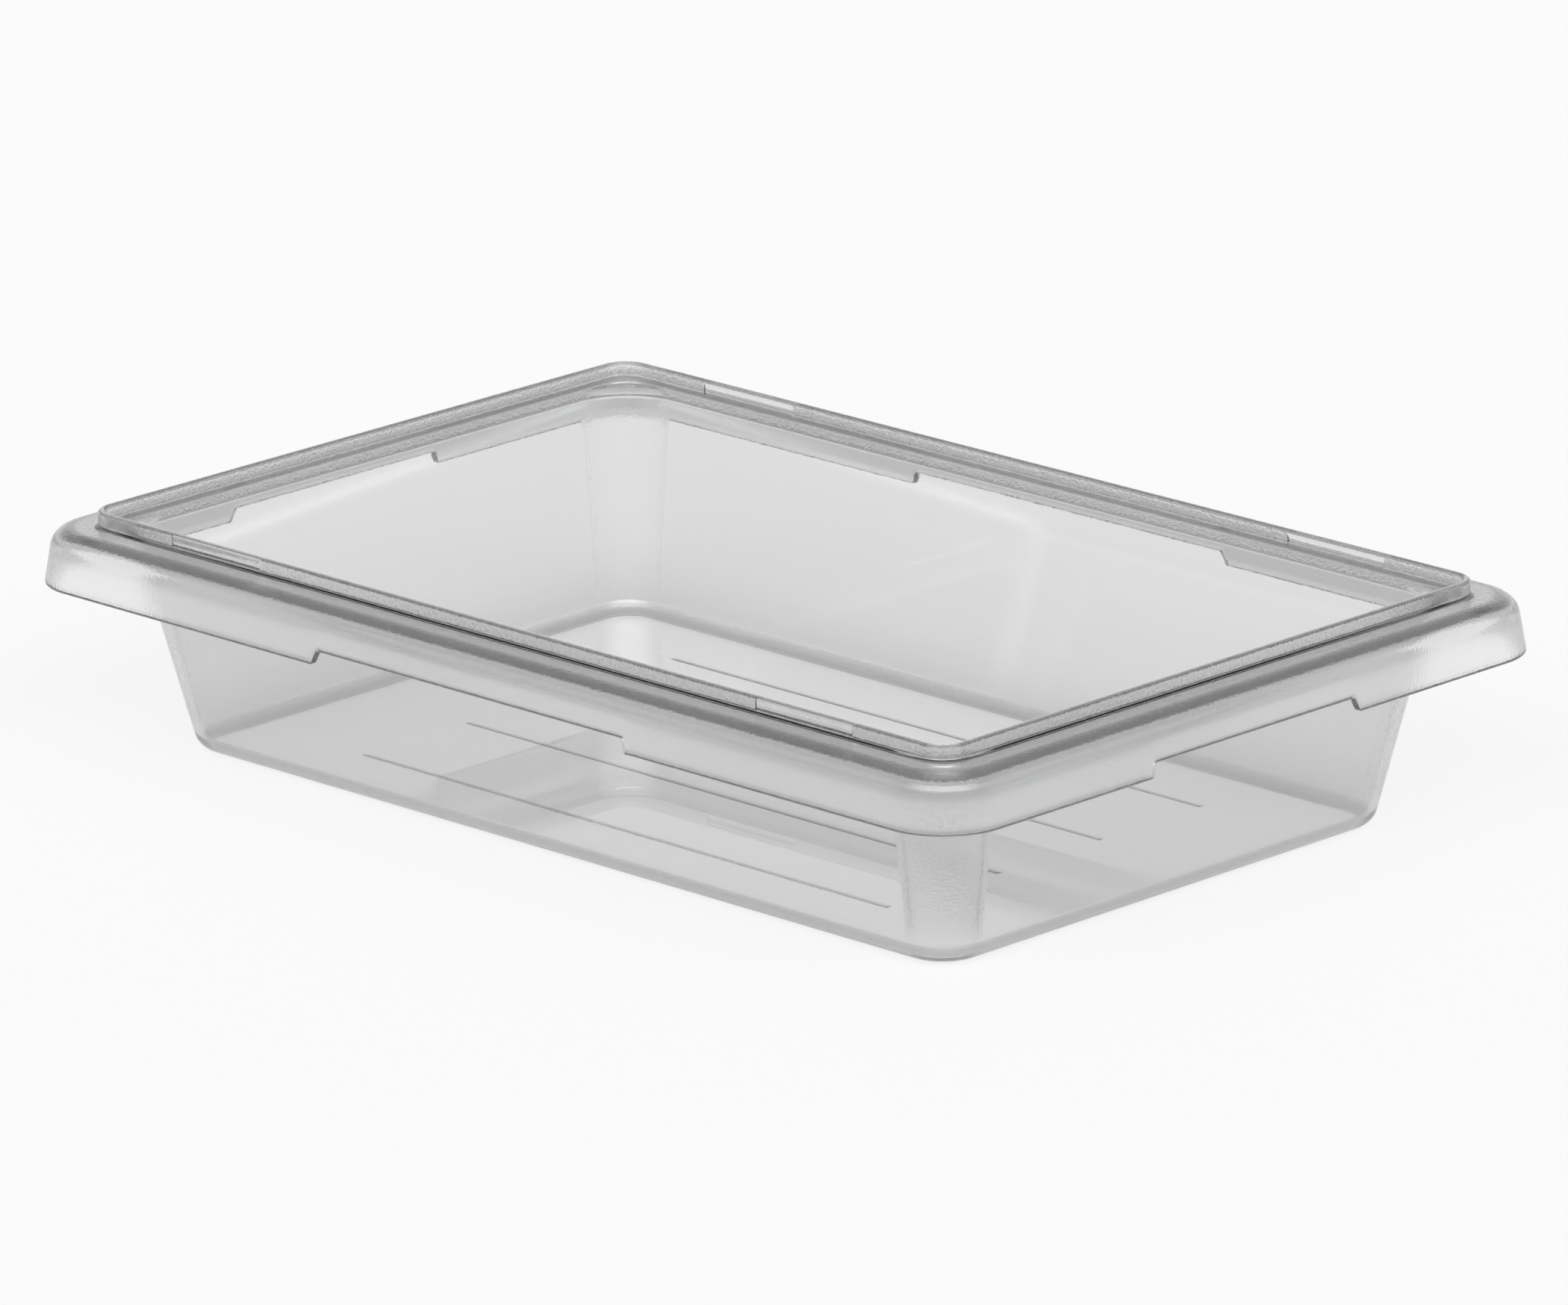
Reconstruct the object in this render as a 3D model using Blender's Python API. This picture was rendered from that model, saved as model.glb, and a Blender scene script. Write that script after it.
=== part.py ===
"""Half-size food pan: one clear polycarbonate moulding.

A tapered pan with rounded corners, an upright lip for a lid, and a flange that turns down into a flared
skirt. The skirt is cut higher in the middle of each side for fingers, the lip has four shallow scoops in its
inner face, and four low ribs carry the base. Metres, +Z up, X along the length. The origin is the middle of
the surface that the pan stands on.
"""
import math
from typing import NamedTuple

import bmesh
import bpy
from mathutils import Vector

# Overall sizes
LENGTH = 0.4572             # over the lower edge of the skirt
WIDTH = 0.3048
HEIGHT = 0.0889             # ribs' undersides to the top of the lip

# Walls and base
WALL = 0.0030
DRAFT = math.radians(12.3)  # lean of the walls from upright
WALL_CORNER_TOP = 0.0245    # outside plan radius of the body's corners at the shoulder
WALL_CORNER_BASE = 0.0165   # the same where wall and base would meet
BASE_FILLET = 0.0135        # outside radius between wall and base
SHOULDER_WIDTH = 0.0046     # lip's inner face to the top of the inner wall
SHOULDER_ROUND = 0.0042
SHOULDER_DEPTH = 0.0065     # top of the lip to the shoulder

# Lip
LIP_HEIGHT = 0.0059         # above the flange
LIP_THICKNESS = 0.0028
LIP_ROUND = 0.0011
LIP_FOOT = 0.0016           # fillet between lip and flange
LIP_INNER_FOOT = 0.0006     # fillet between lip and shoulder
LIP_CORNER = 0.0110         # outside plan radius

# Flange and skirt
RIM_WIDTH = 0.0178          # lip's outer face to the lower edge of the skirt
RIM_THICKNESS = 0.0030
RIM_ROUND = 0.0075          # outside radius between flange and skirt
RIM_INNER_ROUND = 0.0024    # the same inside
RIM_ROOT = 0.0025           # fillet between the wall and the underside of the flange
SKIRT_DEPTH = 0.0258        # top of the lip to the lower edge of the skirt at the corners
SKIRT_THICKNESS = 0.0028
SKIRT_FLARE = math.radians(9.5)
SKIRT_CORNER = 0.0250       # outside plan radius of the lower edge
SKIRT_EDGE_ROUND = 0.0003

# Finger notches: the raised middle of the skirt's lower edge
NOTCH_RISE = 0.0050
NOTCH_ON_LONG_SIDE = 0.1524
NOTCH_ON_SHORT_SIDE = 0.1016
NOTCH_STEP_RUN = 0.0026     # length of the S-shaped step at each end

# Scoops in the lip's inner face, two on each long side
SCOOP_LENGTH = 0.0446
SCOOP_MARGIN = 0.0444       # end of the lip to the near end of the scoop
SCOOP_DEPTH = 0.0006
SCOOP_END_RUN = 0.0006      # length over which a scoop's end face drops to full depth

# Ribs under the base
RIB_COUNT = 4
RIB_HEIGHT = 0.0006
RIB_WIDTH = 0.0030
RIB_TAPER = 0.0003          # how much narrower each flank leaves the rib's underside
RIB_END_MARGIN = 0.0470     # end of the flat base to the end of a rib
RIB_SIDE_MARGIN = 0.0240    # side of the flat base to the middle of the outer rib

# Fineness of the surface
CORNER_STEPS = 8
NOTCH_STEPS = 4
SCOOP_STEPS = 4
FILLET_LIMIT = 0.48         # largest share of a side that one fillet may take
MIN_PLAN_RADIUS = 0.0004
FLAT_BORDER = 0.0010        # flat strip kept between a base fillet and the flat of the base

# Colour and finish
PAN_COLOUR = (0.86, 0.88, 0.88, 1.0)
PAN_ROUGHNESS = 0.08
POLYCARBONATE_IOR = 1.585
SMOOTH_ANGLE = math.radians(38)

QUARTER_TURN = math.pi / 2
OUTLINE_CORNERS = ((-1, -1), (1, -1), (1, 1), (-1, 1))


class Corner(NamedTuple):
    """A sharp corner of the wall's section, with the fillet that rounds it."""
    inset: float            # inwards from the overall outline
    height: float
    plan: float             # plan radius of the outline there
    fillet: float = 0.0
    steps: int = 1
    role: str = ""


class SectionPoint(NamedTuple):
    """A point of the finished section."""
    inset: float
    height: float
    plan: float
    on_edge: bool           # follows the finger notches
    scoop: float            # share of the scoop's full depth


class Column(NamedTuple):
    """A place on the outline: shares of the straight sides, and the way the outline faces."""
    along_x: float
    along_y: float
    turn: float


def heights():
    """Heights of the levels of the section."""
    return {
        "underside": RIB_HEIGHT,
        "floor": RIB_HEIGHT + WALL,
        "edge": HEIGHT - SKIRT_DEPTH,
        "flange_under": HEIGHT - LIP_HEIGHT - RIM_THICKNESS,
        "flange": HEIGHT - LIP_HEIGHT,
        "shoulder": HEIGHT - SHOULDER_DEPTH,
    }


def inner_wall_inset(height):
    """Inset of the inner wall's face at a height."""
    below_shoulder = heights()["shoulder"] - height
    return RIM_WIDTH + LIP_THICKNESS + SHOULDER_WIDTH + below_shoulder * math.tan(DRAFT)


def outer_wall_inset(height):
    return inner_wall_inset(height) - WALL / math.cos(DRAFT)


def outer_wall_plan(height):
    """Outside plan radius of the body at a height."""
    level = heights()
    share = (height - level["underside"]) / (level["shoulder"] - level["underside"])
    return WALL_CORNER_BASE + share * (WALL_CORNER_TOP - WALL_CORNER_BASE)


def base_reach(fillet):
    """How far a base fillet runs in from the corner of wall and base, with its flat border."""
    return fillet * math.tan((QUARTER_TURN - DRAFT) / 2) + FLAT_BORDER


def edge_overhang():
    """How far the skirt's sharp lower edge would pass the overall outline, which its rounding touches."""
    return SKIRT_EDGE_ROUND * (math.tan((QUARTER_TURN + SKIRT_FLARE) / 2) - 1)


def skirt_inset(height):
    """Inset of the skirt's outer face at a height."""
    return (height - heights()["edge"]) * math.tan(SKIRT_FLARE) - edge_overhang()


def section_corners():
    """The sharp section: out under the base, up, round the rim and lip, and down inside to the floor."""
    level = heights()
    underside, floor = level["underside"], level["floor"]
    edge, flange, flange_under = level["edge"], level["flange"], level["flange_under"]
    shoulder = level["shoulder"]
    outer_base = outer_wall_inset(underside)
    inner_base = inner_wall_inset(floor)
    outer_reach = base_reach(BASE_FILLET)
    inner_fillet = max(BASE_FILLET - WALL, WALL)
    inner_reach = base_reach(inner_fillet)
    inner_plan = WALL_CORNER_BASE - WALL
    lip_inset = RIM_WIDTH + LIP_THICKNESS
    lip_inner_plan = LIP_CORNER - LIP_THICKNESS
    skirt_inner_top = skirt_inset(flange_under) + SKIRT_THICKNESS
    skirt_inner_edge = skirt_inset(edge) + SKIRT_THICKNESS
    return [
        Corner(outer_base + outer_reach, underside, WALL_CORNER_BASE - outer_reach),
        Corner(outer_base, underside, WALL_CORNER_BASE, BASE_FILLET, 4),
        Corner(outer_wall_inset(flange_under), flange_under, outer_wall_plan(flange_under), RIM_ROOT),
        Corner(skirt_inner_top, flange_under, SKIRT_CORNER - skirt_inner_top, RIM_INNER_ROUND, 2),
        Corner(skirt_inner_edge, edge, SKIRT_CORNER - SKIRT_THICKNESS, SKIRT_EDGE_ROUND, 1, "edge"),
        Corner(skirt_inset(edge), edge, SKIRT_CORNER, SKIRT_EDGE_ROUND, 2, "edge"),
        Corner(skirt_inset(flange), flange, SKIRT_CORNER - skirt_inset(flange), RIM_ROUND, 4),
        Corner(RIM_WIDTH, flange, LIP_CORNER, LIP_FOOT, 2),
        Corner(RIM_WIDTH, HEIGHT, LIP_CORNER, LIP_ROUND, 2),
        Corner(lip_inset, HEIGHT, lip_inner_plan, LIP_ROUND, 2),
        Corner(lip_inset, shoulder, lip_inner_plan, LIP_INNER_FOOT, 1, "scoop_foot"),
        Corner(inner_wall_inset(shoulder), shoulder, WALL_CORNER_TOP - WALL, SHOULDER_ROUND, 3),
        Corner(inner_base, floor, inner_plan, inner_fillet, 4),
        Corner(inner_base + inner_reach, floor, inner_plan - inner_reach),
    ]


def round_corner(before, corner, after):
    """Section points along one corner's fillet, as a circular arc written as a rational quadratic curve."""
    here = Vector((corner.inset, corner.height, corner.plan))
    back = Vector((before.inset, before.height, before.plan)) - here
    ahead = Vector((after.inset, after.height, after.plan)) - here
    back_length = back.xy.length
    ahead_length = ahead.xy.length
    half_turn = (math.pi - back.xy.angle(ahead.xy)) / 2
    reach = corner.fillet * math.tan(half_turn)
    reach = min(reach, FILLET_LIMIT * back_length, FILLET_LIMIT * ahead_length)
    start = here + back * (reach / back_length)
    end = here + ahead * (reach / ahead_length)
    pull = math.cos(half_turn)
    points = []
    for step in range(corner.steps + 1):
        t = step / corner.steps
        weights = ((1 - t) ** 2, 2 * t * (1 - t) * pull, t ** 2)
        spot = (start * weights[0] + here * weights[1] + end * weights[2]) / sum(weights)
        points.append(SectionPoint(*spot, corner.role == "edge", 0.0))
    return points


def scoop_points(top, foot):
    """Section points between the lip's top and foot, with each one's share of the scoop's depth."""
    points = []
    for step in range(1, SCOOP_STEPS):
        share = step / SCOOP_STEPS
        inset = top.inset + share * (foot.inset - top.inset)
        height = top.height + share * (foot.height - top.height)
        plan = top.plan + share * (foot.plan - top.plan)
        points.append(SectionPoint(inset, height, plan, False, math.sin(math.pi * share)))
    return points


def section():
    """The rounded section of the wall, as points from under the base to the floor inside."""
    corners = section_corners()
    points = [SectionPoint(*corners[0][:3], False, 0.0)]
    for before, corner, after in zip(corners, corners[1:], corners[2:]):
        arc = round_corner(before, corner, after)
        if corner.role == "scoop_foot":
            points += scoop_points(points[-1], arc[0])
        points += arc
    points.append(SectionPoint(*corners[-1][:3], False, 0.0))
    return points


def lip_straight():
    """Half the straight part of a long side at the lip's inner face."""
    return LENGTH / 2 - RIM_WIDTH - LIP_CORNER


def scoop_span():
    """Distances from the middle of a long side to a scoop's two ends."""
    far_end = LENGTH / 2 - RIM_WIDTH - SCOOP_MARGIN
    return far_end - SCOOP_LENGTH, far_end


def notch_stations(notch, straight):
    """Shares of the straight side at which the steps of one notch need columns."""
    stations = []
    for step in range(NOTCH_STEPS + 1):
        distance = notch / 2 + (step / NOTCH_STEPS - 0.5) * NOTCH_STEP_RUN
        stations += [-distance / straight, distance / straight]
    return stations


def scoop_stations():
    near_end, far_end = scoop_span()
    distances = (near_end - SCOOP_END_RUN, near_end, far_end, far_end + SCOOP_END_RUN)
    return [sign * distance / lip_straight() for sign in (-1, 1) for distance in distances]


def outline_columns():
    """Columns round the outline, anticlockwise from the corner at -X and -Y."""
    long_stations = notch_stations(NOTCH_ON_LONG_SIDE, LENGTH / 2 - SKIRT_CORNER) + scoop_stations()
    short_stations = notch_stations(NOTCH_ON_SHORT_SIDE, WIDTH / 2 - SKIRT_CORNER)
    columns = []
    for index, (sign_x, sign_y) in enumerate(OUTLINE_CORNERS):
        first_turn = math.pi + index * QUARTER_TURN
        for step in range(CORNER_STEPS + 1):
            columns.append(Column(sign_x, sign_y, first_turn + QUARTER_TURN * step / CORNER_STEPS))
        side_turn = first_turn + QUARTER_TURN
        if index % 2 == 0:
            columns += [Column(-sign_x * station, sign_y, side_turn) for station in sorted(long_stations)]
        else:
            columns += [Column(sign_x, -sign_y * station, side_turn) for station in sorted(short_stations)]
    return columns


def notch_rise(column):
    """How far the skirt's lower edge is raised at a column."""
    if abs(column.along_x) < 1:
        distance = abs(column.along_x) * (LENGTH / 2 - SKIRT_CORNER)
        half_notch = NOTCH_ON_LONG_SIDE / 2
    elif abs(column.along_y) < 1:
        distance = abs(column.along_y) * (WIDTH / 2 - SKIRT_CORNER)
        half_notch = NOTCH_ON_SHORT_SIDE / 2
    else:
        return 0.0
    share = (half_notch - distance) / NOTCH_STEP_RUN + 0.5
    share = min(max(share, 0.0), 1.0)
    return NOTCH_RISE * (1 - math.cos(math.pi * share)) / 2


def scoop_cut(column):
    """How deep a scoop is cut into the lip at a column."""
    near_end, far_end = scoop_span()
    distance = abs(column.along_x) * lip_straight()
    inside = near_end - SCOOP_END_RUN / 2 < distance < far_end + SCOOP_END_RUN / 2
    return SCOOP_DEPTH if inside and abs(column.along_x) < 1 else 0.0


def place(point, column):
    """Where a section point lies at one column of the outline."""
    rise = notch_rise(column) if point.on_edge else 0.0
    inset = point.inset + rise * math.tan(SKIRT_FLARE) - point.scoop * scoop_cut(column)
    plan = max(point.plan, MIN_PLAN_RADIUS)
    x = column.along_x * (LENGTH / 2 - inset - plan) + plan * math.cos(column.turn)
    y = column.along_y * (WIDTH / 2 - inset - plan) + plan * math.sin(column.turn)
    return Vector((x, y, point.height + rise))


def pan_mesh():
    """The shell: a ring of points per section point, joined by quads and closed by the two base flats."""
    mesh = bmesh.new()
    columns = outline_columns()
    rings = [[mesh.verts.new(place(point, column)) for column in columns] for point in section()]
    for lower, upper in zip(rings, rings[1:]):
        for index, vertex in enumerate(lower):
            following = (index + 1) % len(columns)
            mesh.faces.new((vertex, lower[following], upper[following], upper[index]))
    mesh.faces.new(list(reversed(rings[0])))
    mesh.faces.new(rings[-1])
    return mesh


def flat_base_half_sizes():
    """Half length and half width of the flat underside."""
    inset = outer_wall_inset(heights()["underside"]) + base_reach(BASE_FILLET)
    return LENGTH / 2 - inset, WIDTH / 2 - inset


def add_rib(mesh, middle):
    """One rib along X, from its underside at height zero to the middle of the base's thickness."""
    half_length = flat_base_half_sizes()[0] - RIB_END_MARGIN
    top = RIB_HEIGHT + WALL / 2
    levels = ((0.0, RIB_TAPER), (RIB_HEIGHT, 0.0), (top, 0.0))
    rings = []
    for height, taper in levels:
        reach_x = half_length - taper
        reach_y = RIB_WIDTH / 2 - taper
        corners = [(x * reach_x, middle + y * reach_y, height) for x, y in OUTLINE_CORNERS]
        rings.append([mesh.verts.new(corner) for corner in corners])
    for lower, upper in zip(rings, rings[1:]):
        for index in range(4):
            following = (index + 1) % 4
            mesh.faces.new((lower[index], lower[following], upper[following], upper[index]))
    mesh.faces.new(list(reversed(rings[0])))
    mesh.faces.new(rings[-1])


def ribs_mesh():
    mesh = bmesh.new()
    outer = flat_base_half_sizes()[1] - RIB_SIDE_MARGIN
    for index in range(RIB_COUNT):
        add_rib(mesh, outer * (2 * index / (RIB_COUNT - 1) - 1))
    return mesh


def mesh_object(name, mesh):
    """A scene object that holds a finished mesh."""
    data = bpy.data.meshes.new(name)
    mesh.to_mesh(data)
    mesh.free()
    item = bpy.data.objects.new(name, data)
    bpy.context.scene.collection.objects.link(item)
    return item


def clear_polycarbonate():
    material = bpy.data.materials.new("clear_polycarbonate")
    material.use_nodes = True
    shader = material.node_tree.nodes["Principled BSDF"]
    shader.inputs["Base Color"].default_value = PAN_COLOUR
    shader.inputs["Roughness"].default_value = PAN_ROUGHNESS
    shader.inputs["Metallic"].default_value = 0.0
    shader.inputs["IOR"].default_value = POLYCARBONATE_IOR
    shader.inputs["Transmission Weight"].default_value = 1.0
    return material


def build_food_pan():
    """The pan, with its ribs joined on from a guide object."""
    ribs = mesh_object("rib_guide", ribs_mesh())
    ribs.hide_render = True
    ribs.display_type = "WIRE"
    pan = mesh_object("food_pan", pan_mesh())
    pan.data.shade_smooth()
    pan.data.set_sharp_from_angle(angle=SMOOTH_ANGLE)
    pan.data.materials.append(clear_polycarbonate())
    join = pan.modifiers.new("ribs", "BOOLEAN")
    join.operation = "UNION"
    join.solver = "EXACT"
    join.object = ribs
    return pan


def main():
    for item in list(bpy.data.objects):
        bpy.data.objects.remove(item)
    build_food_pan()


main()
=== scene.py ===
"""Looks of the half-size food pan: the finely rounded moulding in clear polycarbonate, on a pale floor.

Metres, +Z up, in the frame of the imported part. The photograph's image is 2100 by 1748 pixels.
"""
import math
from typing import NamedTuple

import bmesh
import bpy
from mathutils import Matrix, Vector


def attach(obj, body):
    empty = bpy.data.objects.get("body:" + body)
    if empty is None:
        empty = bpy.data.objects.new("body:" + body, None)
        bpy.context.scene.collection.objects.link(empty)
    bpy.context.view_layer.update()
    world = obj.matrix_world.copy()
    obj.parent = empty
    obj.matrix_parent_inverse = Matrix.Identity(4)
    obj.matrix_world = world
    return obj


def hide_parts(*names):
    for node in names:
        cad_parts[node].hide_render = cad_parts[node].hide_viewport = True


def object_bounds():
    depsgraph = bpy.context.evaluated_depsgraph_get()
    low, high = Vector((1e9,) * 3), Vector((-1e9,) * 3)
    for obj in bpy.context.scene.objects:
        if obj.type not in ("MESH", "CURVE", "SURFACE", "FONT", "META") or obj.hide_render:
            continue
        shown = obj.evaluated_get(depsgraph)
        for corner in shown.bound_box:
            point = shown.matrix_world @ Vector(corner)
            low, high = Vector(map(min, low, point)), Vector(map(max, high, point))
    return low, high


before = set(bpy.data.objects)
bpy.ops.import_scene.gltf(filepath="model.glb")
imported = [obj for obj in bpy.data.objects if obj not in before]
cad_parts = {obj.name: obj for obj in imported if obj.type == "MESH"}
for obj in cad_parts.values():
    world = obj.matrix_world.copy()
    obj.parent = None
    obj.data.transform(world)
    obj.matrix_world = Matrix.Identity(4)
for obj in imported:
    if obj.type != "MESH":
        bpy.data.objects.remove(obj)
CAD_LOW, CAD_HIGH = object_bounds()

# Overall sizes, from the frame
LENGTH, WIDTH, HEIGHT = CAD_HIGH - CAD_LOW

# Walls and base
WALL = 0.0030
DRAFT = math.radians(12.3)  # lean of the walls from upright
WALL_CORNER_TOP = 0.0245    # outside plan radius of the body's corners at the shoulder
WALL_CORNER_BASE = 0.0165   # the same where wall and base would meet
BASE_FILLET = 0.0135        # outside radius between wall and base
SHOULDER_WIDTH = 0.0046     # lip's inner face to the top of the inner wall
SHOULDER_ROUND = 0.0042
SHOULDER_DEPTH = 0.0065     # top of the lip to the shoulder

# Lip
LIP_HEIGHT = 0.0059         # above the flange
LIP_THICKNESS = 0.0028
LIP_ROUND = 0.0011
LIP_FOOT = 0.0016           # fillet between lip and flange
LIP_INNER_FOOT = 0.0006     # fillet between lip and shoulder
LIP_CORNER = 0.0110         # outside plan radius

# Flange and skirt
RIM_WIDTH = 0.0178          # lip's outer face to the lower edge of the skirt
RIM_THICKNESS = 0.0030
RIM_ROUND = 0.0075          # outside radius between flange and skirt
RIM_INNER_ROUND = 0.0024    # the same inside
RIM_ROOT = 0.0025           # fillet between the wall and the underside of the flange
SKIRT_DEPTH = 0.0258        # top of the lip to the lower edge of the skirt at the corners
SKIRT_THICKNESS = 0.0028
SKIRT_FLARE = math.radians(9.5)
SKIRT_CORNER = 0.0250       # outside plan radius of the lower edge
SKIRT_EDGE_ROUND = 0.0003

# Finger notches: the raised middle of the skirt's lower edge
NOTCH_RISE = 0.0050
NOTCH_ON_LONG_SIDE = 0.1524
NOTCH_ON_SHORT_SIDE = 0.1016
NOTCH_STEP_RUN = 0.0026     # length of the S-shaped step at each end

# Scoops in the lip's inner face, two on each long side
SCOOP_LENGTH = 0.0446
SCOOP_MARGIN = 0.0444       # end of the lip to the scoop
SCOOP_DEPTH = 0.0006
SCOOP_END_RUN = 0.0006      # length over which a scoop's end face drops to full depth

# Ribs under the base
RIB_COUNT = 4
RIB_HEIGHT = 0.0006
RIB_WIDTH = 0.0030
RIB_FLANK = 0.0011          # run of a rib's rounded flank
RIB_END_MARGIN = 0.0470     # end of the flat base to the end of a rib
RIB_SIDE_MARGIN = 0.0240    # side of the flat base to the middle of the outer rib

# Fineness of the surface
CORNER_STEPS = 28
FILLET_STEP = math.radians(6)
NOTCH_STEPS = 12
FLAT_STEPS = 10
SCOOP_END_STEPS = 4
RIB_FLANK_STEPS = 6
FILLET_LIMIT = 0.48         # largest share of a side that one fillet may take
MIN_PLAN_RADIUS = 0.0004
FLAT_BORDER = 0.0010        # flat strip kept between a base fillet and the flat of the base

# Turns and corners of the outline
QUARTER_TURN = math.pi / 2
OUTLINE_CORNERS = ((-1, -1), (1, -1), (1, 1), (-1, 1))

# Camera, fitted to the photograph
IMAGE_WIDTH = 2100          # pixels
FOCAL_PIXELS = 17272
SENSOR_WIDTH = 36.0         # millimetres
CAMERA_AZIMUTH = math.radians(44.745)
CAMERA_ELEVATION = math.radians(16.965)
CAMERA_ROLL = math.radians(-0.733)
CAMERA_DISTANCE = 4.524
CAMERA_TARGET = Vector((0, 0, 0.045))
CAMERA_RIGHT = 0.002116     # sideways and upward offsets that frame the pan as in the photograph
CAMERA_UP = 0.003731

# Clear plastic
REFRACTIVE_INDEX = 1.585
RIM_TINT = (0.89, 0.892, 0.892, 1)
WALL_TINT = (0.855, 0.858, 0.858, 1)
TINT_INSETS = (0.0200, 0.0230)  # the tint of the walls comes in between these insets
ABSORPTION_COLOUR = (0.5, 0.505, 0.505, 1)
ABSORPTION_DENSITY = 32.0

# Grain along the section, in shares: at a fillet's start, at its end, and on the flat that follows
BASE_GRAIN = (0.3, 0.1, 0.0)
RIM_ROOT_GRAIN = (0.0, 0.2, 0.2)
RIM_INNER_GRAIN = (0.5, 0.3, 0.3)
EDGE_INNER_GRAIN = (0.6, 0.6, 0.6)
EDGE_OUTER_GRAIN = (0.6, 0.6, 0.2)
# grain of the round-over between flange and skirt, whose dark specks also paint its shade
RIM_GRAIN_AND_SHADE = (0.3, 0.9, 0.5)
LIP_FOOT_GRAIN = (0.5, 0.4, 0.4)
LIP_OUTER_GRAIN = (0.3, 0.3, 0.3)
LIP_INNER_GRAIN = (0.3, 0.7, 0.7)
LIP_INNER_FOOT_GRAIN = (0.7, 0.6, 0.6)
SHOULDER_GRAIN = (1.0, 0.1, 0.0)
INNER_BASE_GRAIN = (0.05, 0.05, 0.0)
GRAIN_FADE = 0.35           # share of a flat over which a fillet's grain and painted shade fade

# Grain on the rounded corners of the outline; on the skirt's corners it also paints shade
CORNER_GRAIN = (0.3, 0.6)   # of the walls, in the middle of a corner and where it begins
CORNER_GRAIN_POWER = 6      # how closely the walls' extra grain keeps to where a corner begins
CORNER_FRINGE = 0.0020      # the walls' grain ends this far from their rounded corners
SKIRT_GRAIN_AND_SHADE = 0.65          # grain and painted shade in the middle of the skirt's rounded corners

# Look of the grain
# dark specks of the grain, which also paint shade on the rim's round-over and the skirt's corners
GRAIN_AND_SHADE_TINT = (0.28, 0.283, 0.283, 1)
GRAIN_SCALE = 1000          # specks per metre
GRAIN_DETAIL = 3            # finer layers in the noise
GRAIN_HEIGHT = 0.000080
SPECK_ONSET = 3             # power of the grain with which dark specks set in
ROUGHNESS = (0.01, 0.30)    # clear and fully grained
NOISE_SPAN = (0.35, 0.65)   # part of the noise that is stretched over its whole range

# Frost of the skirt's faces
FROST_INSET = 0.0120        # the skirt's faces lie outside this inset
FROST_RISE = 0.0080         # height over which their frost comes in
FROST_EDGE = 0.0030         # height over which it ends at the skirt's lower edge
INNER_FROST = 0.5           # on the skirt's inner face, which is rough but not hazy
FROST_ROUGHNESS = 0.22
FROST_HAZE = 0.20           # share of the light that the frost of the outer face scatters

# Painted shade under the base, where it meets the floor: grey and haze on the outer base fillet and on the
# ribs
BASE_PAINTED_SHADE = (0.7, 0.9, 0.3)  # painted shade on the base fillet: at its start, the pull of its middle, and at its end
# painted shade on the ribs, where they meet the floor
RIB_PAINTED_SHADE = 0.6
# grey of the painted shade
PAINTED_SHADE_TINT = (0.50, 0.503, 0.503, 1)
PAINTED_SHADE_SCALE = 500            # patches per metre
PAINTED_SHADE_DETAIL = 5             # finer layers in the noise
PAINTED_SHADE_PATCHES = (0.9, 1.0)   # share of the painted shade in the faintest and the strongest patches
PAINTED_SHADE_HAZE = 0.6             # share of the light that a surface in full painted shade scatters as haze

# Floor
FLOOR_RADIUS = 20.0
FLOOR_SEGMENTS = 96
FLOOR_GREY = 0.96
FLOOR_GLOW = 0.86           # share of the floor's paleness that is glow
FLOOR_GAP = 0.0002          # between the floor and the undersides of the ribs

# Studio light: edges are spans of a unit direction, of its height or of its part towards the camera
AMBIENT_LIGHT = 0.30
PANEL_LIGHT = 5.2
PANEL_LOWER_EDGE = (0.36, 0.44)  # of the height
PANEL_UPPER_EDGE = (0.72, 0.84)
PANEL_SIDE_EDGE = (0.20, 0.70)  # of the part towards the camera
BACKDROP_LIGHT = 1.0
BACKDROP_UPPER_EDGE = (0.30, 0.42)
BACKDROP_SIDE_EDGE = (0.0, -0.4)
LIGHT_BOUNCES = 32          # light travels far inside clear walls


class Corner(NamedTuple):
    """A sharp corner of the wall's section, with the fillet that rounds it.

    Its role is "edge" where it rises with the finger notches, "wall" where the flat that follows is a wall,
    and "scoop_foot" where the flat that comes before is the scooped face of the lip.
    """
    inset: float            # inwards from the overall outline
    height: float
    plan: float             # plan radius of the outline there
    fillet: float = 0.0
    grain: tuple = (0.0, 0.0, 0.0)  # at the fillet's start, at its end, and on the flat that follows
    wear: tuple = (0.0, 0.0, 0.0)  # painted shade at the fillet's start, the pull of its middle, and at its end
    role: str = ""


class SectionPoint(NamedTuple):
    """A point of the finished section."""
    inset: float
    height: float
    plan: float
    grain: float
    # share of painted shade
    wear: float
    notch: float = 0.0      # share of the finger notches' rise
    scoop: float = 0.0      # share of the scoop's full depth
    wall: float = 0.0       # 1 on the walls, 0 elsewhere


class Column(NamedTuple):
    """A place on the outline: shares of the straight sides, and the way the outline faces."""
    along_x: float
    along_y: float
    turn: float


def smooth_share(share):
    """An S-shaped rise from 0 to 1."""
    share = min(max(share, 0.0), 1.0)
    return (1 - math.cos(math.pi * share)) / 2


def heights():
    """Heights of the levels of the section."""
    return {
        "underside": RIB_HEIGHT,
        "floor": RIB_HEIGHT + WALL,
        "edge": HEIGHT - SKIRT_DEPTH,
        "flange_under": HEIGHT - LIP_HEIGHT - RIM_THICKNESS,
        "flange": HEIGHT - LIP_HEIGHT,
        "shoulder": HEIGHT - SHOULDER_DEPTH,
    }


def inner_wall_inset(height):
    """Inset of the inner wall's face at a height."""
    below_shoulder = heights()["shoulder"] - height
    return RIM_WIDTH + LIP_THICKNESS + SHOULDER_WIDTH + below_shoulder * math.tan(DRAFT)


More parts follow.
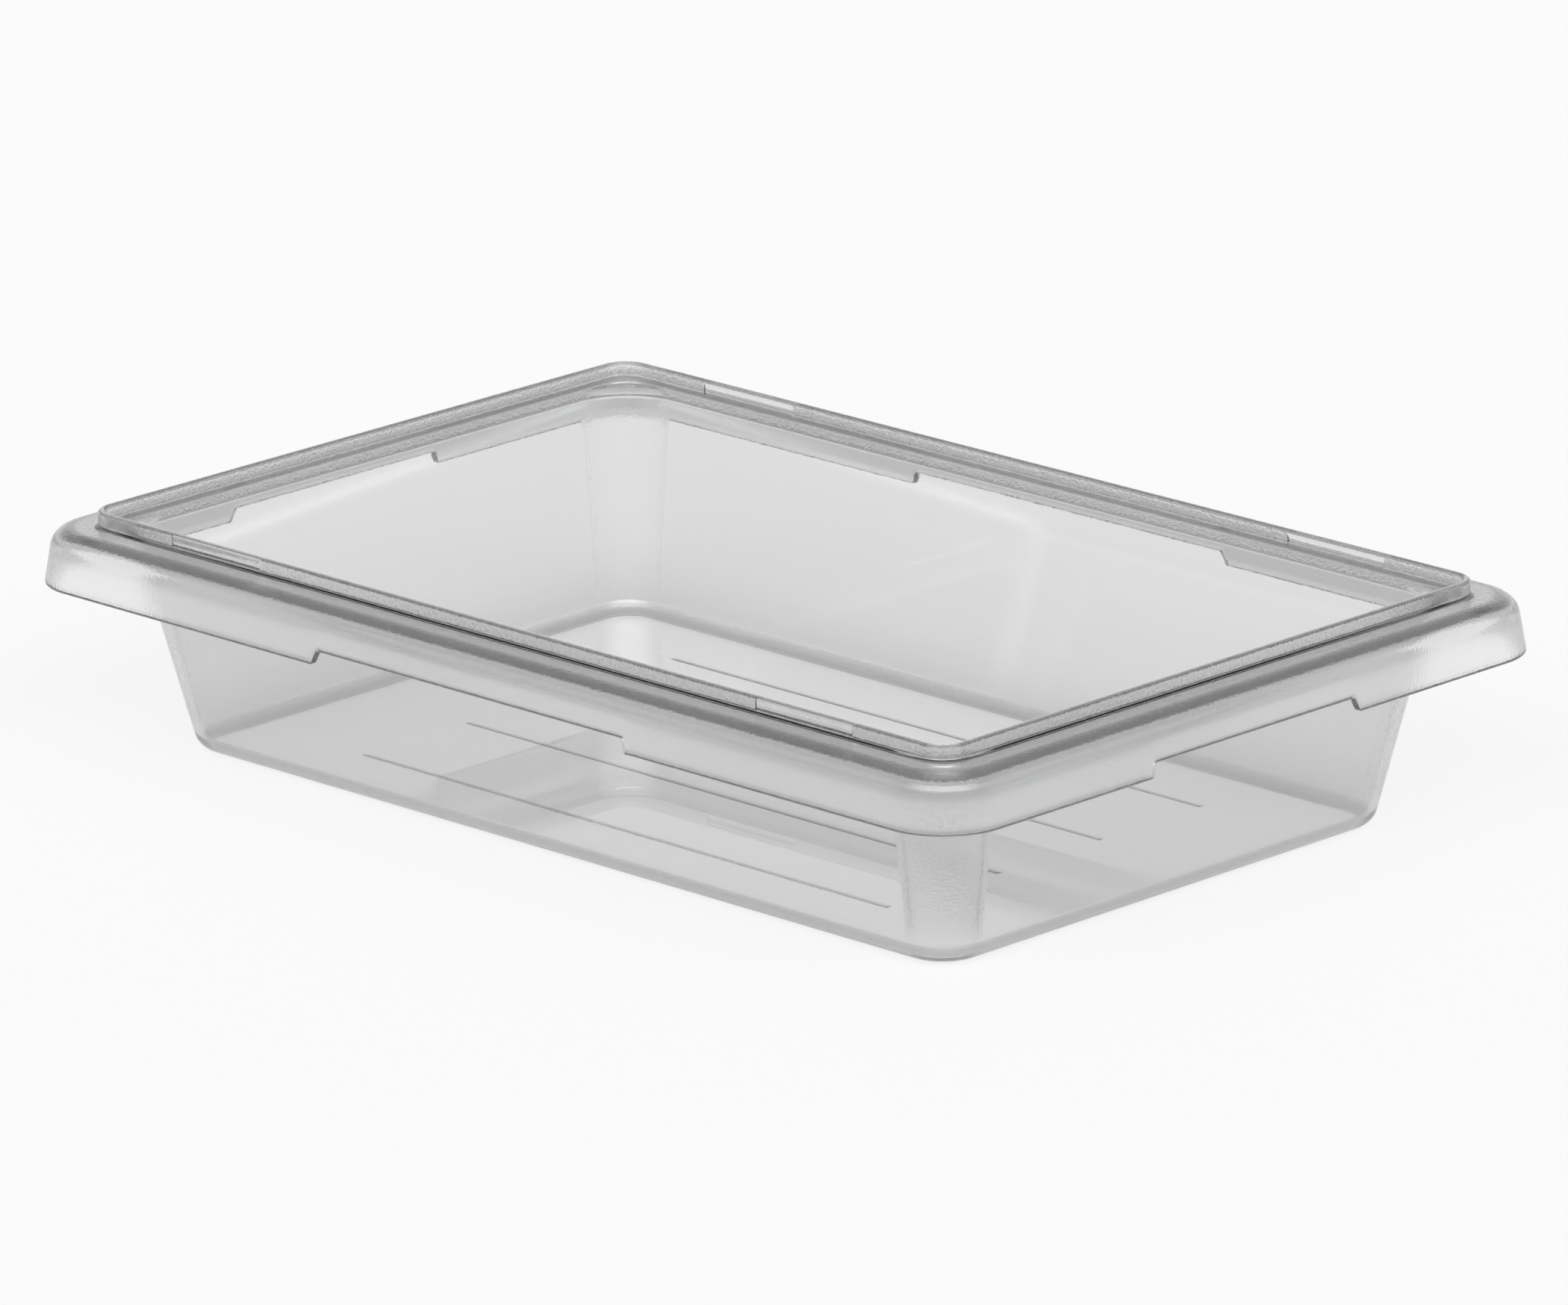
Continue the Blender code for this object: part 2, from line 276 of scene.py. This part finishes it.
def outer_wall_inset(height):
    """Inset of the outer wall's face at a height."""
    return inner_wall_inset(height) - WALL / math.cos(DRAFT)


def outer_wall_plan(height):
    """Outside plan radius of the body at a height."""
    level = heights()
    share = (height - level["underside"]) / (level["shoulder"] - level["underside"])
    return WALL_CORNER_BASE + share * (WALL_CORNER_TOP - WALL_CORNER_BASE)


def base_reach(fillet):
    """How far a base fillet runs in from the corner of wall and base, with its flat border."""
    return fillet * math.tan((QUARTER_TURN - DRAFT) / 2) + FLAT_BORDER


def edge_overhang():
    """How far the skirt's sharp lower edge would pass the overall outline, which its rounding touches."""
    return SKIRT_EDGE_ROUND * (math.tan((QUARTER_TURN + SKIRT_FLARE) / 2) - 1)


def skirt_inset(height):
    """Inset of the skirt's outer face at a height."""
    return (height - heights()["edge"]) * math.tan(SKIRT_FLARE) - edge_overhang()


def section_corners():
    """The sharp section: out under the base, up, round the rim and lip, and down inside to the floor."""
    level = heights()
    underside, floor = level["underside"], level["floor"]
    edge, flange, flange_under = level["edge"], level["flange"], level["flange_under"]
    shoulder = level["shoulder"]
    outer_base = outer_wall_inset(underside)
    outer_reach = base_reach(BASE_FILLET)
    inner_base = inner_wall_inset(floor)
    inner_fillet = BASE_FILLET - WALL
    inner_reach = base_reach(inner_fillet)
    inner_plan = WALL_CORNER_BASE - WALL
    lip_inset = RIM_WIDTH + LIP_THICKNESS
    lip_plan = LIP_CORNER - LIP_THICKNESS
    skirt_inner_top = skirt_inset(flange_under) + SKIRT_THICKNESS
    skirt_inner_edge = skirt_inset(edge) + SKIRT_THICKNESS
    skirt_inner_plan = SKIRT_CORNER - skirt_inner_top
    edge_plan = SKIRT_CORNER - SKIRT_THICKNESS
    flange_plan = SKIRT_CORNER - skirt_inset(flange)
    root_plan = outer_wall_plan(flange_under)
    shoulder_inset = inner_wall_inset(shoulder)
    shoulder_plan = WALL_CORNER_TOP - WALL
    return [
        Corner(outer_base + outer_reach, underside, WALL_CORNER_BASE - outer_reach),
        Corner(outer_base, underside, WALL_CORNER_BASE, BASE_FILLET, BASE_GRAIN, BASE_PAINTED_SHADE, "wall"),
        Corner(outer_wall_inset(flange_under), flange_under, root_plan, RIM_ROOT, RIM_ROOT_GRAIN),
        Corner(skirt_inner_top, flange_under, skirt_inner_plan, RIM_INNER_ROUND, RIM_INNER_GRAIN),
        Corner(skirt_inner_edge, edge, edge_plan, SKIRT_EDGE_ROUND, EDGE_INNER_GRAIN, role="edge"),
        Corner(skirt_inset(edge), edge, SKIRT_CORNER, SKIRT_EDGE_ROUND, EDGE_OUTER_GRAIN, role="edge"),
        Corner(skirt_inset(flange), flange, flange_plan, RIM_ROUND, RIM_GRAIN_AND_SHADE),
        Corner(RIM_WIDTH, flange, LIP_CORNER, LIP_FOOT, LIP_FOOT_GRAIN),
        Corner(RIM_WIDTH, HEIGHT, LIP_CORNER, LIP_ROUND, LIP_OUTER_GRAIN),
        Corner(lip_inset, HEIGHT, lip_plan, LIP_ROUND, LIP_INNER_GRAIN),
        Corner(lip_inset, shoulder, lip_plan, LIP_INNER_FOOT, LIP_INNER_FOOT_GRAIN, role="scoop_foot"),
        Corner(shoulder_inset, shoulder, shoulder_plan, SHOULDER_ROUND, SHOULDER_GRAIN, role="wall"),
        Corner(inner_base, floor, inner_plan, inner_fillet, INNER_BASE_GRAIN),
        Corner(inner_base + inner_reach, floor, inner_plan - inner_reach),
    ]


def curve_weights(share, pull):
    """Weights of a quadratic curve's start, pulled middle and end, at a share of its way."""
    return (1 - share) ** 2, 2 * share * (1 - share) * pull, share ** 2


def round_corner(before, corner, after):
    """Section points along one corner's fillet, as a circular arc written as a rational quadratic curve."""
    here = Vector(corner[:3])
    back = Vector(before[:3]) - here
    ahead = Vector(after[:3]) - here
    back_length = back.xy.length
    ahead_length = ahead.xy.length
    half_turn = (math.pi - back.xy.angle(ahead.xy)) / 2
    reach = corner.fillet * math.tan(half_turn)
    reach = min(reach, FILLET_LIMIT * back_length, FILLET_LIMIT * ahead_length)
    start = here + back * (reach / back_length)
    end = here + ahead * (reach / ahead_length)
    first_grain, last_grain, _ = corner.grain
    steps = math.ceil(2 * half_turn / FILLET_STEP)
    points = []
    for step in range(steps + 1):
        share = step / steps
        weights = curve_weights(share, math.cos(half_turn))
        spot = (start * weights[0] + here * weights[1] + end * weights[2]) / sum(weights)
        grain = first_grain + share * (last_grain - first_grain)
        # painted shade along the fillet, curving through its values at the start, the middle and the end
        wear = sum(weight * value for weight, value in zip(curve_weights(share, 1), corner.wear))
        points.append(SectionPoint(*spot, grain, wear, notch=float(corner.role == "edge")))
    return points


def flat_points(start, end, before, corner):
    """Section points between two fillets, whose grain fades into the flat's own and whose painted shade
    fades out.
    """
    flat_grain = before.grain[-1]
    points = []
    for step in range(1, FLAT_STEPS):
        share = step / FLAT_STEPS
        spot = Vector(start[:3]).lerp(Vector(end[:3]), share)
        from_start = max(0.0, 1 - share / GRAIN_FADE) ** 2
        from_end = max(0.0, 1 - (1 - share) / GRAIN_FADE) ** 2
        grain = flat_grain + from_start * (start.grain - flat_grain) + from_end * (end.grain - flat_grain)
        wear = from_start * start.wear + from_end * end.wear
        notch = start.notch + share * (end.notch - start.notch)
        scoop = math.sin(math.pi * share) if corner.role == "scoop_foot" else 0.0
        points.append(SectionPoint(*spot, grain, wear, notch, scoop, float(before.role == "wall")))
    return points


def end_point(corner):
    """The first or last point of the section, on a flat of the base."""
    return SectionPoint(*corner[:3], corner.grain[0], corner.wear[0])


def section():
    """The rounded section of the wall, as points from under the base to the floor inside."""
    corners = section_corners()
    points = [end_point(corners[0])]
    for before, corner, after in zip(corners, corners[1:], corners[2:]):
        arc = round_corner(before, corner, after)
        points += flat_points(points[-1], arc[0], before, corner)
        points += arc
    points.append(end_point(corners[-1]))
    return points


def lip_straight():
    """Half the straight part of a long side at the lip."""
    return LENGTH / 2 - RIM_WIDTH - LIP_CORNER


def scoop_span():
    """Distances from the middle of a long side to a scoop's two ends."""
    far_end = LENGTH / 2 - RIM_WIDTH - SCOOP_MARGIN
    return far_end - SCOOP_LENGTH, far_end


def notch_stations(notch, straight):
    """Shares of the straight side at which the steps of one notch need columns."""
    stations = []
    for step in range(NOTCH_STEPS + 1):
        distance = notch / 2 + (step / NOTCH_STEPS - 0.5) * NOTCH_STEP_RUN
        stations += [-distance / straight, distance / straight]
    return stations


def scoop_stations():
    """Shares of the straight lip at which the ends of the scoops need columns."""
    near_end, far_end = scoop_span()
    stations = []
    for step in range(SCOOP_END_STEPS + 1):
        run = SCOOP_END_RUN * step / SCOOP_END_STEPS
        for distance in (near_end - run, far_end + run):
            stations += [-distance / lip_straight(), distance / lip_straight()]
    return stations


def fringe_stations(straight):
    """Shares of a straight side at which the grain of its corners ends."""
    share = 1 - CORNER_FRINGE / straight
    return [-share, share]


def outline_columns():
    """Columns round the outline, anticlockwise from the corner at -X and -Y."""
    long_straight = LENGTH / 2 - SKIRT_CORNER
    short_straight = WIDTH / 2 - SKIRT_CORNER
    long_stations = notch_stations(NOTCH_ON_LONG_SIDE, long_straight) + fringe_stations(long_straight)
    long_stations += scoop_stations()
    short_stations = notch_stations(NOTCH_ON_SHORT_SIDE, short_straight) + fringe_stations(short_straight)
    columns = []
    for index, (sign_x, sign_y) in enumerate(OUTLINE_CORNERS):
        first_turn = math.pi + index * QUARTER_TURN
        for step in range(CORNER_STEPS + 1):
            columns.append(Column(sign_x, sign_y, first_turn + QUARTER_TURN * step / CORNER_STEPS))
        side_turn = first_turn + QUARTER_TURN
        if index % 2 == 0:
            columns += [Column(-sign_x * station, sign_y, side_turn) for station in sorted(long_stations)]
        else:
            columns += [Column(sign_x, -sign_y * station, side_turn) for station in sorted(short_stations)]
    return columns


def notch_rise(column):
    """How far the skirt's lower edge is raised at a column."""
    if abs(column.along_x) < 1:
        distance = abs(column.along_x) * (LENGTH / 2 - SKIRT_CORNER)
        half_notch = NOTCH_ON_LONG_SIDE / 2
    elif abs(column.along_y) < 1:
        distance = abs(column.along_y) * (WIDTH / 2 - SKIRT_CORNER)
        half_notch = NOTCH_ON_SHORT_SIDE / 2
    else:
        return 0.0
    return NOTCH_RISE * smooth_share((half_notch - distance) / NOTCH_STEP_RUN + 0.5)


def scoop_cut(column):
    """How deep a scoop is cut into the lip at a column."""
    if abs(column.along_x) == 1:
        return 0.0
    near_end, far_end = scoop_span()
    distance = abs(column.along_x) * lip_straight()
    outside = max(near_end - distance, distance - far_end, 0.0)
    return SCOOP_DEPTH * (1 - smooth_share(outside / SCOOP_END_RUN))


def place(point, column):
    """Where a section point lies at one column of the outline."""
    rise = point.notch * notch_rise(column)
    inset = point.inset + rise * math.tan(SKIRT_FLARE) - point.scoop * scoop_cut(column)
    plan = max(point.plan, MIN_PLAN_RADIUS)
    x = column.along_x * (LENGTH / 2 - inset - plan) + plan * math.cos(column.turn)
    y = column.along_y * (WIDTH / 2 - inset - plan) + plan * math.sin(column.turn)
    return Vector((x, y, point.height + rise))


def tint_share(inset):
    """Share of the walls' tint at an inset. The rest is the rim's."""
    first, last = TINT_INSETS
    return smooth_share((inset - first) / (last - first))


def frost_share(point):
    """Frost of the skirt's two faces, which comes in below the flange and fades out at the lower edge."""
    if point.inset > FROST_INSET:
        return 0.0
    level = heights()
    below_flange = smooth_share((level["flange_under"] - point.height) / FROST_RISE)
    frost = below_flange * smooth_share((point.height - level["edge"]) / FROST_EDGE)
    if point.inset > skirt_inset(point.height) + SKIRT_THICKNESS / 2:
        frost *= INNER_FROST
    return frost


def off_middle(column):
    """How far a column lies from the middle of its rounded corner, as a share of half the corner."""
    return abs(column.turn % QUARTER_TURN / QUARTER_TURN - 0.5) * 2


def grain_on_corner(point, column, frost):
    """Grain that the walls and the frosted skirt have only on the rounded corners of the outline; on the
    skirt its dark specks also paint shade.
    """
    if abs(column.along_x) < 1 or abs(column.along_y) < 1:
        return 0.0
    middle, ends = CORNER_GRAIN
    on_walls = middle + (ends - middle) * off_middle(column) ** CORNER_GRAIN_POWER
    on_skirt = SKIRT_GRAIN_AND_SHADE * (1 - off_middle(column) ** 2)
    return point.wall * on_walls + frost * on_skirt


def grain_share(point, column, frost):
    """Grain at one place of the surface. The scoops are clear."""
    unscooped = 1 - point.scoop * scoop_cut(column) / SCOOP_DEPTH
    return max(point.grain * unscooped, grain_on_corner(point, column, frost))


def set_finish(mesh, vertex, **shares):
    """Notes at a vertex how much of each finish its surface has, for the material."""
    for name, share in shares.items():
        vertex[mesh.verts.layers.float[name]] = share


def flat_base_half_sizes():
    """Half length and half width of the flat underside."""
    inset = outer_wall_inset(heights()["underside"]) + base_reach(BASE_FILLET)
    return LENGTH / 2 - inset, WIDTH / 2 - inset


def flank_stations(half_size):
    """Places across a rib, with the rounded flanks finely divided."""
    flank = [half_size - RIB_FLANK * step / RIB_FLANK_STEPS for step in range(RIB_FLANK_STEPS + 1)]
    return [-distance for distance in flank] + flank[::-1]


def add_rib(mesh, middle):
    """One rounded rib along X under the base. Returns the edges of its border, level with the underside."""
    half_length = flat_base_half_sizes()[0] - RIB_END_MARGIN
    half_width = RIB_WIDTH / 2
    rows = []
    for y in flank_stations(half_width):
        row = []
        for x in flank_stations(half_length):
            depth = smooth_share((half_length - abs(x)) / RIB_FLANK)
            depth *= smooth_share((half_width - abs(y)) / RIB_FLANK)
            vertex = mesh.verts.new((x, middle + y, RIB_HEIGHT * (1 - depth)))
            # painted shade grows towards the middle of the rib, which touches the floor
            set_finish(mesh, vertex, wear=RIB_PAINTED_SHADE * depth, tint=1.0)
            row.append(vertex)
        rows.append(row)
    faces = []
    for near, far in zip(rows, rows[1:]):
        for index in range(len(near) - 1):
            corners = (near[index], far[index], far[index + 1], near[index + 1])
            faces.append(mesh.faces.new(corners))
    return [edge for face in faces for edge in face.edges if edge.is_boundary]


def add_base_flats(mesh, rings):
    """The flat floor inside, and the flat underside with its ribs."""
    mesh.faces.new(rings[-1])
    outer = flat_base_half_sizes()[1] - RIB_SIDE_MARGIN
    borders = [mesh.edges.get((a, b)) for a, b in zip(rings[0], rings[0][1:] + rings[0][:1])]
    for index in range(RIB_COUNT):
        borders += add_rib(mesh, outer * (2 * index / (RIB_COUNT - 1) - 1))
    bmesh.ops.triangle_fill(mesh, edges=borders, use_beauty=True, normal=(0, 0, -1))


def add_ring(mesh, point, columns):
    """The vertices of one section point all round the outline."""
    frost = frost_share(point)
    tint = tint_share(point.inset)
    ring = []
    for column in columns:
        vertex = mesh.verts.new(place(point, column))
        grain = grain_share(point, column, frost)
        set_finish(mesh, vertex, grain=grain, wear=point.wear, tint=tint, frost=frost)
        ring.append(vertex)
    return ring


def pan_mesh():
    """The shell: a ring of vertices for each section point, joined by quads and closed by the base flats."""
    mesh = bmesh.new()
    for finish in ("grain", "wear", "tint", "frost"):
        mesh.verts.layers.float.new(finish)
    columns = outline_columns()
    rings = [add_ring(mesh, point, columns) for point in section()]
    for lower, upper in zip(rings, rings[1:]):
        for index, vertex in enumerate(lower):
            following = (index + 1) % len(columns)
            mesh.faces.new((vertex, lower[following], upper[following], upper[index]))
    add_base_flats(mesh, rings)
    bmesh.ops.recalc_face_normals(mesh, faces=mesh.faces)
    return mesh


def mesh_object(name, mesh):
    """A scene object that holds a finished mesh."""
    data = bpy.data.meshes.new(name)
    mesh.to_mesh(data)
    mesh.free()
    item = bpy.data.objects.new(name, data)
    bpy.context.scene.collection.objects.link(item)
    return item


def feed(tree, socket, value):
    """Links a node's output to a socket, or sets the socket to a plain value."""
    if isinstance(value, bpy.types.NodeSocket):
        tree.links.new(value, socket)
    else:
        socket.default_value = value


def attribute_node(tree, name):
    """A share of finish noted at the vertices."""
    node = tree.nodes.new("ShaderNodeAttribute")
    node.attribute_name = name
    return node.outputs["Fac"]


def math_node(tree, operation, *values):
    """One step of arithmetic on node outputs and plain numbers."""
    node = tree.nodes.new("ShaderNodeMath")
    node.operation = operation
    for socket, value in zip(node.inputs, values):
        feed(tree, socket, value)
    return node.outputs["Value"]


def range_node(tree, value, from_range, to_range):
    """A value stretched from one range to another, and held at its ends."""
    node = tree.nodes.new("ShaderNodeMapRange")
    node.inputs["From Min"].default_value, node.inputs["From Max"].default_value = from_range
    node.inputs["To Min"].default_value, node.inputs["To Max"].default_value = to_range
    tree.links.new(value, node.inputs["Value"])
    return node.outputs["Result"]


def noise_node(tree, scale, detail, to_range):
    """Noise over the part's own coordinates, in a range. Its scale is in features per metre."""
    where = tree.nodes.new("ShaderNodeTexCoord")
    noise = tree.nodes.new("ShaderNodeTexNoise")
    noise.inputs["Scale"].default_value = scale
    noise.inputs["Detail"].default_value = detail
    tree.links.new(where.outputs["Object"], noise.inputs["Vector"])
    return range_node(tree, noise.outputs["Fac"], NOISE_SPAN, to_range)


def colour_mix_node(tree, share, first, second):
    """A mix of two colours, each a colour value or a node's output."""
    node = tree.nodes.new("ShaderNodeMix")
    node.data_type = "RGBA"
    feed(tree, node.inputs["Factor"], share)
    feed(tree, node.inputs["A"], first)
    feed(tree, node.inputs["B"], second)
    return node.outputs["Result"]


def plastic_colour(tree, grain, speckle, shade_share):
    """The tints of rim and walls, with the grain's dark specks, which on the rim also paint shade, and the
    grey of the painted shade under the base.
    """
    # dark specks of the grain, which on the rim's round-over and the skirt's corners also paint shade
    specks = math_node(tree, "MULTIPLY", math_node(tree, "POWER", grain, SPECK_ONSET), speckle)
    body = colour_mix_node(tree, attribute_node(tree, "tint"), RIM_TINT, WALL_TINT)
    grained = colour_mix_node(tree, specks, body, GRAIN_AND_SHADE_TINT)
    return colour_mix_node(tree, shade_share, grained, PAINTED_SHADE_TINT)


def plastic_clearness(tree, shade_share, frost):
    """Share of the light that neither the haze of the painted shade nor the frost of the skirt's outer face
    scatters.
    """
    clear_of_shade = range_node(tree, shade_share, (0, 1), (1, 1 - PAINTED_SHADE_HAZE))
    unfrosted = range_node(tree, frost, (INNER_FROST, 1), (1, 1 - FROST_HAZE))
    return math_node(tree, "MULTIPLY", clear_of_shade, unfrosted)


def plastic_roughness(tree, grain, frost):
    """The roughness of the grain or of the frost, whichever is more."""
    grained = range_node(tree, grain, (0, 1), ROUGHNESS)
    frosted = range_node(tree, frost, (0, INNER_FROST), (0, FROST_ROUGHNESS))
    return math_node(tree, "MAXIMUM", frosted, grained)


def plastic_bump(tree, grain, speckle):
    """The raised specks of the grain."""
    bump = tree.nodes.new("ShaderNodeBump")
    bump.inputs["Distance"].default_value = GRAIN_HEIGHT
    tree.links.new(grain, bump.inputs["Strength"])
    tree.links.new(speckle, bump.inputs["Height"])
    return bump.outputs["Normal"]


def plastic_depth(tree):
    """The grey that light takes on along its way through the plastic."""
    absorb = tree.nodes.new("ShaderNodeVolumeAbsorption")
    absorb.inputs["Color"].default_value = ABSORPTION_COLOUR
    absorb.inputs["Density"].default_value = ABSORPTION_DENSITY
    return absorb.outputs["Volume"]


def clear_polycarbonate():
    """Clear plastic: grained where the mould is textured, with the grain's specks also painting shade on the
    rim, frosted on the skirt, and with painted shade and haze under the base.
    """
    material = bpy.data.materials.new("clear_polycarbonate")
    material.use_nodes = True
    tree = material.node_tree
    grain = attribute_node(tree, "grain")
    frost = attribute_node(tree, "frost")
    speckle = noise_node(tree, GRAIN_SCALE, GRAIN_DETAIL, (0, 1))
    patches = noise_node(tree, PAINTED_SHADE_SCALE, PAINTED_SHADE_DETAIL, PAINTED_SHADE_PATCHES)
    # painted shade under the base, broken into patches
    shade_share = math_node(tree, "MULTIPLY", attribute_node(tree, "wear"), patches)
    shader = tree.nodes["Principled BSDF"]
    shader.inputs["IOR"].default_value = REFRACTIVE_INDEX
    tree.links.new(plastic_colour(tree, grain, speckle, shade_share), shader.inputs["Base Color"])
    tree.links.new(plastic_clearness(tree, shade_share, frost), shader.inputs["Transmission Weight"])
    tree.links.new(plastic_roughness(tree, grain, frost), shader.inputs["Roughness"])
    tree.links.new(plastic_bump(tree, grain, speckle), shader.inputs["Normal"])
    tree.links.new(plastic_depth(tree), tree.nodes["Material Output"].inputs["Volume"])
    return material


def build_pan():
    """The pan's one piece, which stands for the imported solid."""
    pan = mesh_object("clear_pan", pan_mesh())
    pan.data.shade_smooth()
    pan.data.materials.append(clear_polycarbonate())
    pan.modifiers.new("large_faces_lead", "WEIGHTED_NORMAL")
    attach(pan, "root")
    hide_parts("food_pan")


def add_camera():
    """The camera at the photograph's place."""
    azimuth, elevation = CAMERA_AZIMUTH, CAMERA_ELEVATION
    back = Vector((
        math.sin(azimuth) * math.cos(elevation),
        -math.cos(azimuth) * math.cos(elevation),
        math.sin(elevation),
    ))
    level_right = Vector((math.cos(azimuth), math.sin(azimuth), 0))
    level_up = back.cross(level_right)
    right = math.cos(CAMERA_ROLL) * level_right + math.sin(CAMERA_ROLL) * level_up
    up = back.cross(right)
    data = bpy.data.cameras.new("camera")
    data.sensor_fit = "HORIZONTAL"
    data.sensor_width = SENSOR_WIDTH
    data.lens = FOCAL_PIXELS / IMAGE_WIDTH * SENSOR_WIDTH
    camera = bpy.data.objects.new("camera", data)
    place_at = CAMERA_TARGET + back * CAMERA_DISTANCE + right * CAMERA_RIGHT + up * CAMERA_UP
    turn = Matrix((right, up, back)).transposed().to_4x4()
    camera.matrix_world = Matrix.Translation(place_at) @ turn
    bpy.context.scene.collection.objects.link(camera)
    bpy.context.scene.camera = camera


def pale_floor():
    """Matt paleness that is partly the floor's own glow, so the pan's shadow on it stays light."""
    material = bpy.data.materials.new("pale_floor")
    material.use_nodes = True
    tree = material.node_tree
    tree.nodes.clear()
    matt = tree.nodes.new("ShaderNodeBsdfDiffuse")
    matt.inputs["Color"].default_value = (FLOOR_GREY, FLOOR_GREY, FLOOR_GREY, 1)
    glow = tree.nodes.new("ShaderNodeEmission")
    glow.inputs["Strength"].default_value = FLOOR_GREY
    path = tree.nodes.new("ShaderNodeLightPath")
    seen = path.outputs["Is Camera Ray"]
    for kind in ("Is Glossy Ray", "Is Transmission Ray"):
        seen = math_node(tree, "MAXIMUM", seen, path.outputs[kind])
    mix = tree.nodes.new("ShaderNodeMixShader")
    tree.links.new(math_node(tree, "MULTIPLY", seen, FLOOR_GLOW), mix.inputs["Fac"])
    tree.links.new(matt.outputs["BSDF"], mix.inputs[1])
    tree.links.new(glow.outputs["Emission"], mix.inputs[2])
    output = tree.nodes.new("ShaderNodeOutputMaterial")
    tree.links.new(mix.outputs["Shader"], output.inputs["Surface"])
    return material


def add_floor():
    """The floor that the pan stands on."""
    mesh = bmesh.new()
    bmesh.ops.create_circle(mesh, cap_ends=True, segments=FLOOR_SEGMENTS, radius=FLOOR_RADIUS)
    floor = mesh_object("floor", mesh)
    floor.location.z = -FLOOR_GAP
    floor.data.materials.append(pale_floor())


def towards_camera(tree, direction):
    """How far a direction points to the side that the camera stands on, from -1 to 1."""
    node = tree.nodes.new("ShaderNodeVectorMath")
    node.operation = "DOT_PRODUCT"
    node.inputs[1].default_value = (math.sin(CAMERA_AZIMUTH), -math.cos(CAMERA_AZIMUTH), 0)
    tree.links.new(direction, node.inputs[0])
    return node.outputs["Value"]


def add_world():
    """Even studio light, with a wide soft panel high in front and a low pale backdrop behind."""
    world = bpy.data.worlds.new("studio")
    world.use_nodes = True
    bpy.context.scene.world = world
    tree = world.node_tree
    direction = tree.nodes.new("ShaderNodeTexCoord").outputs["Generated"]
    split = tree.nodes.new("ShaderNodeSeparateXYZ")
    tree.links.new(direction, split.inputs["Vector"])
    height, ahead = split.outputs["Z"], towards_camera(tree, direction)
    above = range_node(tree, height, PANEL_LOWER_EDGE, (0, 1))
    below = range_node(tree, height, PANEL_UPPER_EDGE, (1, 0))
    in_front = range_node(tree, ahead, PANEL_SIDE_EDGE, (0, 1))
    panel = math_node(tree, "MULTIPLY", math_node(tree, "MULTIPLY", above, below), in_front)
    low = range_node(tree, height, BACKDROP_UPPER_EDGE, (1, 0))
    behind = range_node(tree, ahead, BACKDROP_SIDE_EDGE, (0, 1))
    backdrop = math_node(tree, "MULTIPLY", low, behind)
    around = range_node(tree, backdrop, (0, 1), (AMBIENT_LIGHT, BACKDROP_LIGHT))
    background = tree.nodes["Background"]
    background.inputs["Color"].default_value = (1, 1, 1, 1)
    strength = math_node(tree, "MULTIPLY_ADD", panel, PANEL_LIGHT, around)
    tree.links.new(strength, background.inputs["Strength"])


def set_bounces():
    """Lets light run its whole way through the rim, where it bounces many times."""
    cycles = bpy.context.scene.cycles
    cycles.max_bounces = LIGHT_BOUNCES
    cycles.transmission_bounces = LIGHT_BOUNCES
    cycles.glossy_bounces = LIGHT_BOUNCES


def main():
    bpy.context.scene.view_settings.view_transform = "Standard"
    set_bounces()
    build_pan()
    add_camera()
    add_floor()
    add_world()


main()
